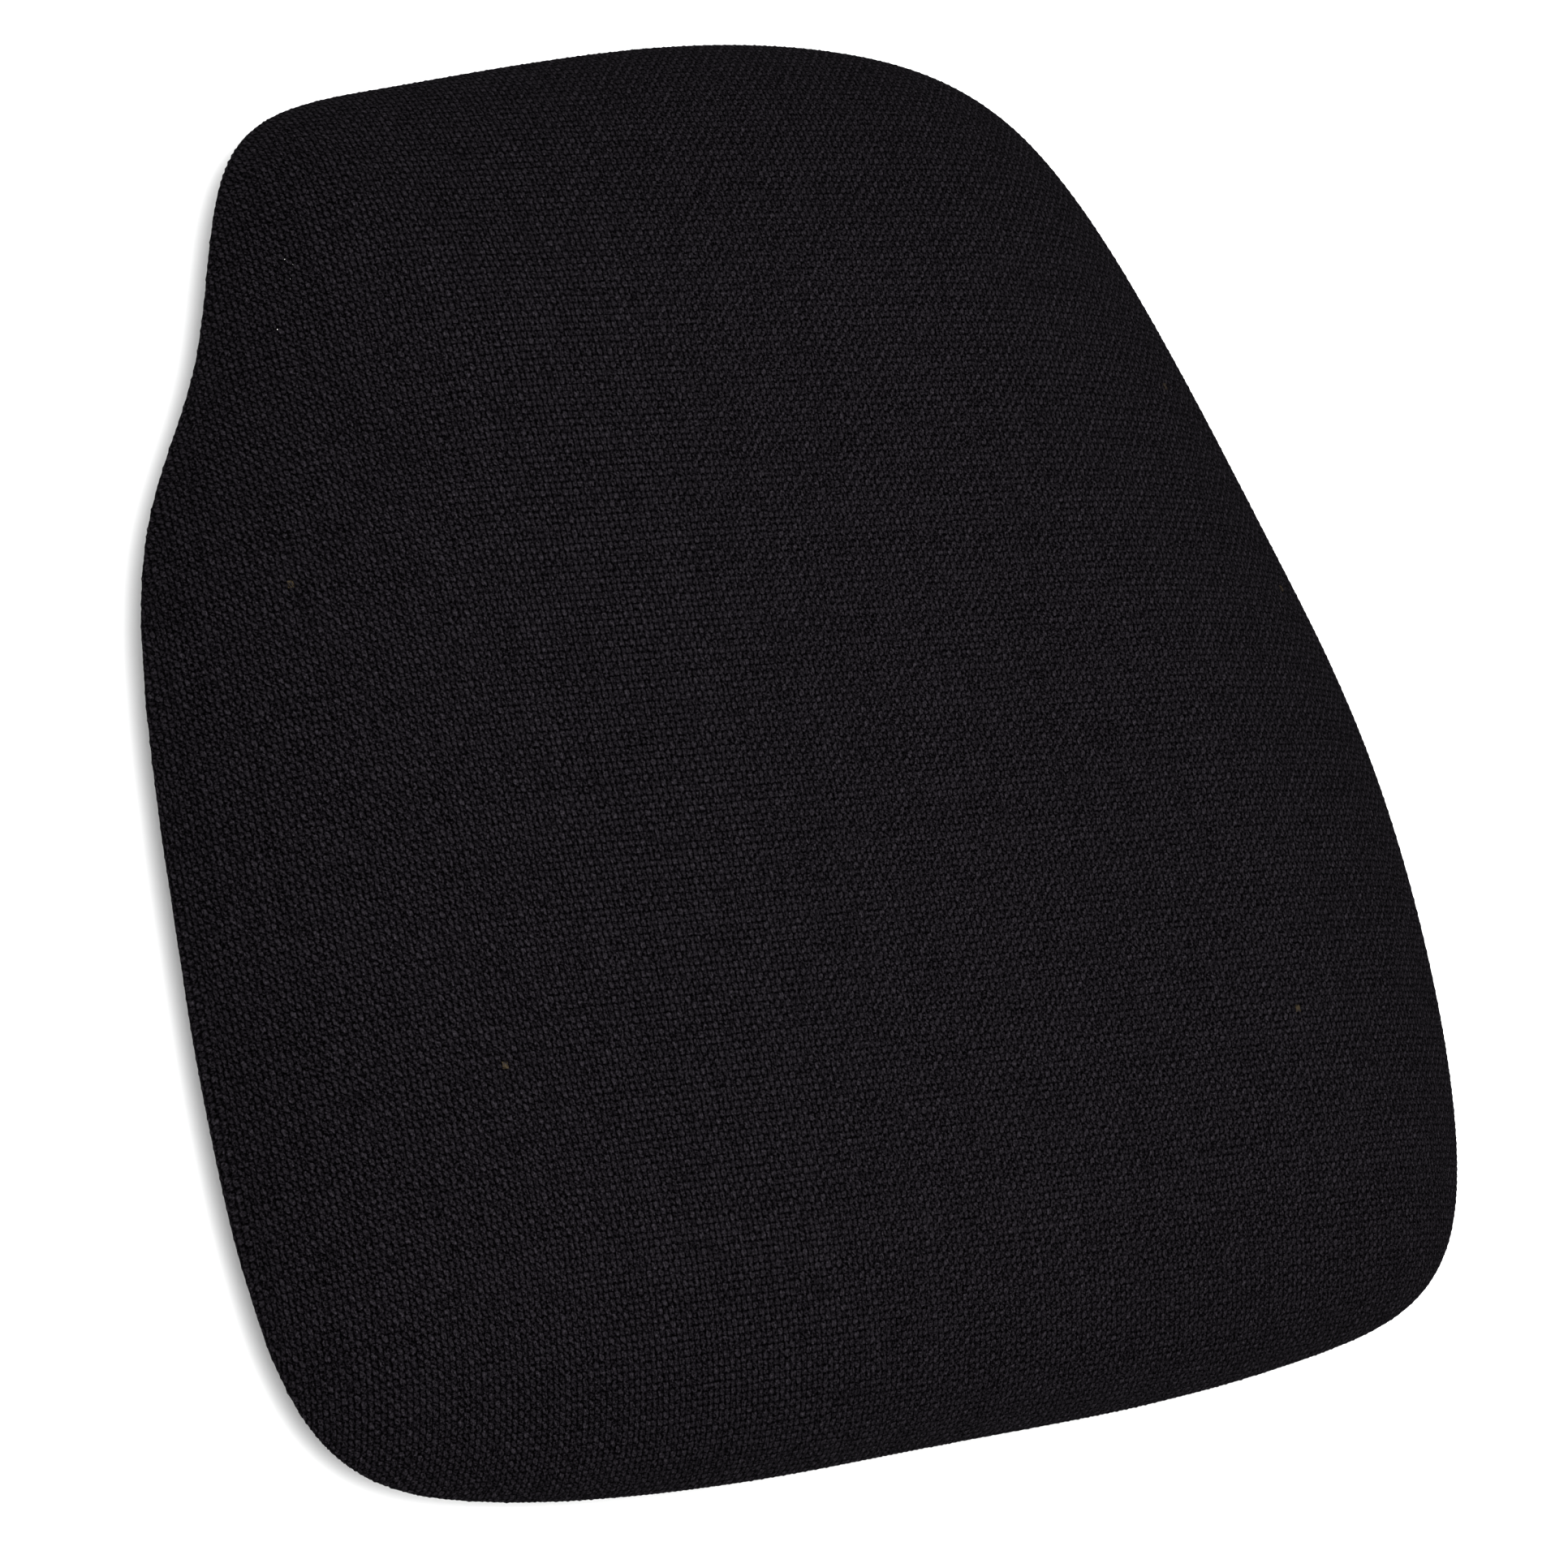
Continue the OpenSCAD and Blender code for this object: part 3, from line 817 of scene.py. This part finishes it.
def rubber_finish(hardware):
    """Dull moulded rubber with dust in its pores."""
    f = Finish("foot_rubber", Specular_IOR_Level=0.3)
    where = f.place()
    pores = f.cells(where, 2100.0)
    dust = f.spread(f.noise(where, 260.0, 4.0, 0.7), 0.5, 0.75)
    dusty = (0.09, 0.085, 0.08)
    f.set("Base Color", f.blend(f.product(dust, 0.25), tuple(hardware.rubber_colour), dusty))
    f.set("Roughness", f.spread(dust, 0.0, 1.0, 0.7, 0.9))
    f.bump(f.total(pores, f.product(dust, 0.3)), 0.00005)
    return f.material


def refinish(node, finish):
    """Gives a node of the frame its finish."""
    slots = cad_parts[node].material_slots
    for slot in slots:
        slot.material = finish
    if not slots:
        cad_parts[node].data.materials.append(finish)


# Cover ---------------------------------------------------------------------------------------

def settled(points, keep, held, cloth, inward):
    """Runs the pulled cloth against its padding's pressure, and gives how far out each knot moves."""
    start = points - inward[..., None] * facing_of(points)
    number = np.full(keep.shape, -1)
    number[keep] = np.arange(keep.sum())
    quads = cells_of(number)[cells_of(keep).all(-1)]
    mesh = bpy.data.meshes.new("settling_cloth")
    mesh.from_pydata(start[keep].tolist(), [], quads.tolist())
    sheet = bpy.data.objects.new("settling_cloth", mesh)
    scene = bpy.context.scene
    scene.collection.objects.link(sheet)
    group = sheet.vertex_groups.new(name="held")
    group.add(number[keep & held].tolist(), 1.0, "ADD")
    modifier = sheet.modifiers.new("Cloth", "CLOTH")
    rules = modifier.settings
    rules.quality = 6
    rules.mass = 0.02
    rules.tension_stiffness = 30
    rules.compression_stiffness = 30
    rules.shear_stiffness = 12
    rules.bending_stiffness = 2
    rules.use_pressure = True
    rules.uniform_pressure_force = cloth.pressure
    rules.effector_weights.gravity = 0
    rules.vertex_group_mass = group.name
    modifier.point_cache.frame_end = cloth.settle
    for step in range(1, cloth.settle + 1):
        scene.frame_set(step)
    done = sheet.evaluated_get(bpy.context.evaluated_depsgraph_get()).to_mesh()
    co = np.empty(len(done.vertices) * 3)
    done.vertices.foreach_get("co", co)
    moved = np.zeros(points.shape[:2])
    out = facing_of(points)
    moved[keep] = ((co.reshape(-1, 3) - points[keep]) * out[keep]).sum(1)
    bpy.data.objects.remove(sheet)
    scene.frame_set(1)
    if not np.isfinite(moved).all():
        raise RuntimeError("the cover's cloth did not settle")
    middle = np.median(moved[keep & ~held])
    return np.where(keep & ~held, np.clip(moved - middle, -cloth.pull * 0.6, cloth.pull), 0.0)


class SEAT_OT_cover(Operator):
    """Weaves the cover over the padding and turns its edge in under the board"""

    bl_idname = "booster_seat.cover"
    bl_label = "Woven cover"

    def execute(self, context):
        shape, cloth = context.scene.seat_shape, context.scene.seat_cloth
        crown = Crown(shape, shape.low, shape.high, softness=cloth.edge_softness)
        cell_x, cell_y = cloth.warp_pitch * THREADS, cloth.weft_pitch * THREADS
        spare = cloth.turn_in + SPARE_CLOTH
        reach = crown.edge_at.max() + spare
        quarter = DIRECTIONS // 4
        count_x = math.ceil((crown.edge_at[[0, 2 * quarter]].max() + spare) / cell_x)
        count_y = math.ceil((crown.edge_at[[quarter, 3 * quarter]].max() + spare) / cell_y)
        knots = drape(crown, cell_x, cell_y, count_x, count_y)

        far = np.hypot(knots[..., 0], knots[..., 1])
        edge = crown.by_direction(crown.edge_at, knots)
        keep = far < edge + cloth.turn_in
        held = far > edge - HELD_ABOVE_EDGE
        room = np.clip((edge - far) / EDGE_FADE, 0, 1)
        room = room * room * (3 - 2 * room)
        push = softened(settled(crown.place(knots), keep, held, cloth, 0.001 * room) * room, 3)

        parts = 2 * THREADS
        wide, deep = finer(2 * count_x + 1, parts), finer(2 * count_y + 1, parts)
        flat = spread(wide, deep, knots)
        lift = spread(wide, deep, push[..., None])[..., 0]
        far = np.hypot(flat[..., 0], flat[..., 1])
        end = cloth.turn_in / crown.by_direction(crown.facing, flat)
        end = crown.by_direction(crown.edge_at, flat) + end
        inside = far <= end
        flat = np.where(inside[..., None], flat, flat * (end / np.maximum(far, 1e-9))[..., None])
        points = crown.place(flat)
        out = facing_of(points)

        m, n = np.arange(points.shape[0]), np.arange(points.shape[1])
        on_warp, on_weft = (m % 2 == 0)[:, None], (n % 2 == 0)[None]
        warp_over = ((m // 2)[:, None] + (n // 2)[None]) % 2 == 0
        crossing = np.where(warp_over, 0.6, 0.15)
        crest = np.where(on_warp, 0.1, np.where(on_weft, -0.2, -0.45))
        crest = np.where(on_warp & on_weft, crossing, crest)
        random = np.random.default_rng(7)
        thick_warp = np.repeat(random.uniform(0.75, 1.25, len(m) // 2 + 1), 2)[: len(m)]
        thick_weft = np.repeat(random.uniform(0.75, 1.25, len(n) // 2 + 1), 2)[: len(n)]
        uneven = random.uniform(0.85, 1.15, crest.shape)
        crest = crest * (thick_warp[:, None] + thick_weft[None]) / 2 * uneven
        points = points + out * (lift + crest * cloth.relief)[..., None]

        index = np.arange(points.shape[0] * points.shape[1]).reshape(points.shape[:2])
        quads = cells_of(index)[cells_of(inside).sum(-1) >= 3]
        used = np.unique(quads)
        number = np.full(index.size, -1)
        number[used] = np.arange(len(used))
        verts = points.reshape(-1, 3)[used]
        counts = (m - count_x * parts) / 2, (n - count_y * parts) / 2
        yarns = np.stack(np.meshgrid(*counts, indexing="ij"), -1).reshape(-1, 2)[used]
        cover = add_quads(
            "woven_cover", verts, number[quads], woven_finish(cloth), ["seat_cover"],
        )
        pitches = [cloth.warp_pitch, cloth.weft_pitch]
        lay_map(cover.data, "OFBake", yarns * pitches / (2.1 * reach) + 0.5)
        lay_map(cover.data, "yarn_count", yarns)
        return {"FINISHED"}


class SEAT_OT_padding(Operator):
    """Lays the foam over the board and the fibre wadding over the foam"""

    bl_idname = "booster_seat.padding"
    bl_label = "Foam and wadding"

    def execute(self, context):
        shape, padding = context.scene.seat_shape, context.scene.seat_padding
        low = FOAM_LOW.z
        down = 1 - np.concatenate([np.linspace(1, 0.5, 16)[:-1], 0.5 * np.linspace(1, 0, 34) ** 2])
        down = down[1:]

        top = shape.high - padding.cover
        outer = Crown(shape, low, top, padding.cover)
        inner = Crown(shape, low, top - padding.wadding, padding.cover + padding.wadding)
        rings = crown_rings(outer, down) + crown_rings(inner, down[::-1])
        wadding = add_closed(
            "wadding_layer", rings, [(0, 0, top), (0, 0, top - padding.wadding)],
            wadding_finish(padding), ["fibre_wadding"],
        )

        foam = Crown(shape, low, FOAM_HIGH.z, padding.cover + padding.wadding + CLEARANCE)
        to_board = COVER_HIGH.y - BOARD_HIGH.y - CLEARANCE
        board = Crown(shape, low, FOAM_HIGH.z, to_board, even=True)
        recess = BOARD_HIGH.z + CLEARANCE
        rings = crown_rings(foam, down) + [
            flat_ring(board, 0.0, low), flat_ring(board, 0.0, recess),
            flat_ring(board, 0.05, recess), flat_ring(board, 0.1, recess),
        ]
        core = add_closed(
            "foam_core", rings, [(0, 0, FOAM_HIGH.z), (0, 0, recess)],
            foam_finish(padding), ["seat_foam"],
        )
        return {"FINISHED"}


class SEAT_OT_board(Operator):
    """Finishes the plywood board and the staples in it"""

    bl_idname = "booster_seat.board"
    bl_label = "Board and staples"

    def execute(self, context):
        hardware = context.scene.seat_hardware
        refinish("seat_board", ply_finish(hardware))
        refinish("cover_staples", metal_finish("staple_wire", hardware.steel_colour, 0.28))
        return {"FINISHED"}


class SEAT_OT_pan(Operator):
    """Finishes the moulded base pan"""

    bl_idname = "booster_seat.pan"
    bl_label = "Base pan"

    def execute(self, context):
        refinish("base_pan", pan_finish(context.scene.seat_hardware))
        return {"FINISHED"}


class SEAT_OT_fixings(Operator):
    """Finishes the screws, washers, nuts and inserts"""

    bl_idname = "booster_seat.fixings"
    bl_label = "Fixings"

    def execute(self, context):
        hardware = context.scene.seat_hardware
        steel = metal_finish("plated_steel", hardware.steel_colour, 0.3)
        for node in ("tee_nuts", "pan_screws", "foot_washers", "foot_screws"):
            refinish(node, steel)
        refinish("frame_inserts", metal_finish("turned_brass", hardware.brass_colour, 0.32, 9000.0))
        return {"FINISHED"}


class SEAT_OT_feet(Operator):
    """Moulds the four rubber feet, with rounded edges and tread rings"""

    bl_idname = "booster_seat.feet"
    bl_label = "Feet"

    @staticmethod
    def profile(hardware, node):
        """Radii and heights round a foot's section, from its screw hole, under and back up."""
        low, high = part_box(node)
        r, e, hole = (high.x - low.x) / 2, hardware.foot_edge, hardware.foot_hole
        recess, floor = hardware.foot_recess, hardware.washer_top
        line = [(hole, floor), (recess, floor), (recess, low.z + e * 0.5), (recess + e * 0.5, low.z)]
        for groove in GROOVES:
            line += [(groove, low.z), (groove + 0.0002, low.z + 0.0006)]
            line += [(groove + 0.0007, low.z + 0.0006), (groove + 0.0009, low.z)]
        for turn in np.linspace(0, math.pi / 2, 6):
            line.append((r - e + e * math.sin(turn), low.z + e - e * math.cos(turn)))
        half = e * 0.5
        for turn in np.linspace(0, math.pi / 2, 4):
            line.append((r - half + half * math.cos(turn), high.z - half + half * math.sin(turn)))
        return line + [(hole, high.z)]

    def execute(self, context):
        hardware = context.scene.seat_hardware
        rubber = rubber_finish(hardware)
        for node in FEET:
            low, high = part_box(node)
            middle, line = (low + high) / 2, self.profile(hardware, node)
            turn = np.linspace(0, 2 * math.pi, FOOT_SIDES, endpoint=False)
            rings = [
                (middle.x + r * np.cos(turn), middle.y + r * np.sin(turn), np.full(FOOT_SIDES, z))
                for r, z in line
            ]
            verts = np.concatenate([np.stack(ring, 1) for ring in rings])
            i = np.arange(FOOT_SIDES)
            j = (i + 1) % FOOT_SIDES
            faces = []
            for k in range(len(line)):
                row, following = k * FOOT_SIDES, (k + 1) % len(line) * FOOT_SIDES
                faces.append(np.stack([row + i, row + j, following + j, following + i], 1))
            faces = np.concatenate(faces)
            foot = add_quads(node + "_rubber", verts, faces, rubber, [node])
            foot.data.set_sharp_from_angle(angle=math.radians(50))
        return {"FINISHED"}


class SEAT_OT_stage(Operator):
    """Sets out the floor, the lights and the camera"""

    bl_idname = "booster_seat.stage"
    bl_label = "Stage"

    def execute(self, context):
        studio, scene = context.scene.seat_studio, context.scene
        f = Finish("studio_floor", Roughness=0.9, Specular_IOR_Level=0.1)
        f.set("Base Color", tuple(studio.floor_colour))
        half = FLOOR_HALF
        corners = [(-half, -half, 0), (half, -half, 0), (half, half, 0), (-half, half, 0)]
        mesh = bpy.data.meshes.new("studio_floor")
        mesh.from_pydata(corners, [], [(0, 1, 2, 3)])
        mesh.materials.append(f.material)
        floor = bpy.data.objects.new("studio_floor", mesh)
        floor.location.z = CAD_LOW.z - 2 * CLEARANCE
        scene.collection.objects.link(floor)

        world = bpy.data.worlds.new("studio_air")
        world.use_nodes = True
        sky = world.node_tree.nodes["Background"]
        sky.inputs["Color"].default_value = (1, 1, 1, 1)
        sky.inputs["Strength"].default_value = studio.sky
        scene.world = world

        for name, watts, place in (
            ("key_light", studio.key, KEY_PLACE), ("fill_light", studio.fill, FILL_PLACE),
        ):
            data = bpy.data.lights.new(name, "AREA")
            data.shape, data.size, data.energy = "DISK", LIGHT_SIZE, watts
            lamp = bpy.data.objects.new(name, data)
            lamp.location = place
            lamp.rotation_mode = "QUATERNION"
            lamp.rotation_quaternion = (Vector(LIT_POINT) - Vector(place)).to_track_quat("-Z", "Y")
            scene.collection.objects.link(lamp)

        azimuth, elevation = studio.azimuth, studio.elevation
        away = math.cos(elevation)
        back = Vector((math.sin(azimuth) * away, -math.cos(azimuth) * away, math.sin(elevation)))
        level = Vector((0, 0, 1)).cross(back).normalized()
        right = Matrix.Rotation(studio.roll, 3, back) @ level
        up = back.cross(right)
        data = bpy.data.cameras.new("studio_camera")
        data.lens = studio.lens
        data.clip_end = 50
        camera = bpy.data.objects.new("studio_camera", data)
        turn = Matrix((right, up, back)).transposed().to_4x4()
        camera.matrix_world = Matrix.Translation(Vector(studio.aim) + back * studio.distance) @ turn
        scene.collection.objects.link(camera)
        scene.camera = camera
        scene.view_settings.view_transform = "Standard"
        return {"FINISHED"}


PIECES = (
    SEAT_OT_stage, SEAT_OT_padding, SEAT_OT_cover, SEAT_OT_board,
    SEAT_OT_pan, SEAT_OT_fixings, SEAT_OT_feet,
)


class SEAT_PT_panel(Panel):
    """Lists the seat's pieces and their sizes and colours"""

    bl_label = "Booster seat"
    bl_space_type = "VIEW_3D"
    bl_region_type = "UI"
    bl_category = "Booster seat"

    def draw(self, context):
        for piece in PIECES:
            self.layout.operator(piece.bl_idname)
        for name, group in SETTINGS.items():
            box = self.layout.box()
            box.label(text=group.__doc__)
            for prop in group.__annotations__:
                box.prop(getattr(context.scene, name), prop)


def register():
    for group in SETTINGS.values():
        bpy.utils.register_class(group)
    for name, group in SETTINGS.items():
        setattr(bpy.types.Scene, name, PointerProperty(type=group))
    for piece in PIECES:
        bpy.utils.register_class(piece)
    bpy.utils.register_class(SEAT_PT_panel)


def unregister():
    bpy.utils.unregister_class(SEAT_PT_panel)
    for piece in reversed(PIECES):
        bpy.utils.unregister_class(piece)
    for name, group in SETTINGS.items():
        delattr(bpy.types.Scene, name)
        bpy.utils.unregister_class(group)


def main():
    register()
    bpy.ops.booster_seat.stage()
    bpy.ops.booster_seat.padding()
    bpy.ops.booster_seat.cover()
    bpy.ops.booster_seat.board()
    bpy.ops.booster_seat.pan()
    bpy.ops.booster_seat.fixings()
    bpy.ops.booster_seat.feet()
    bpy.context.view_layer.update()


if __name__ == "__main__":
    main()
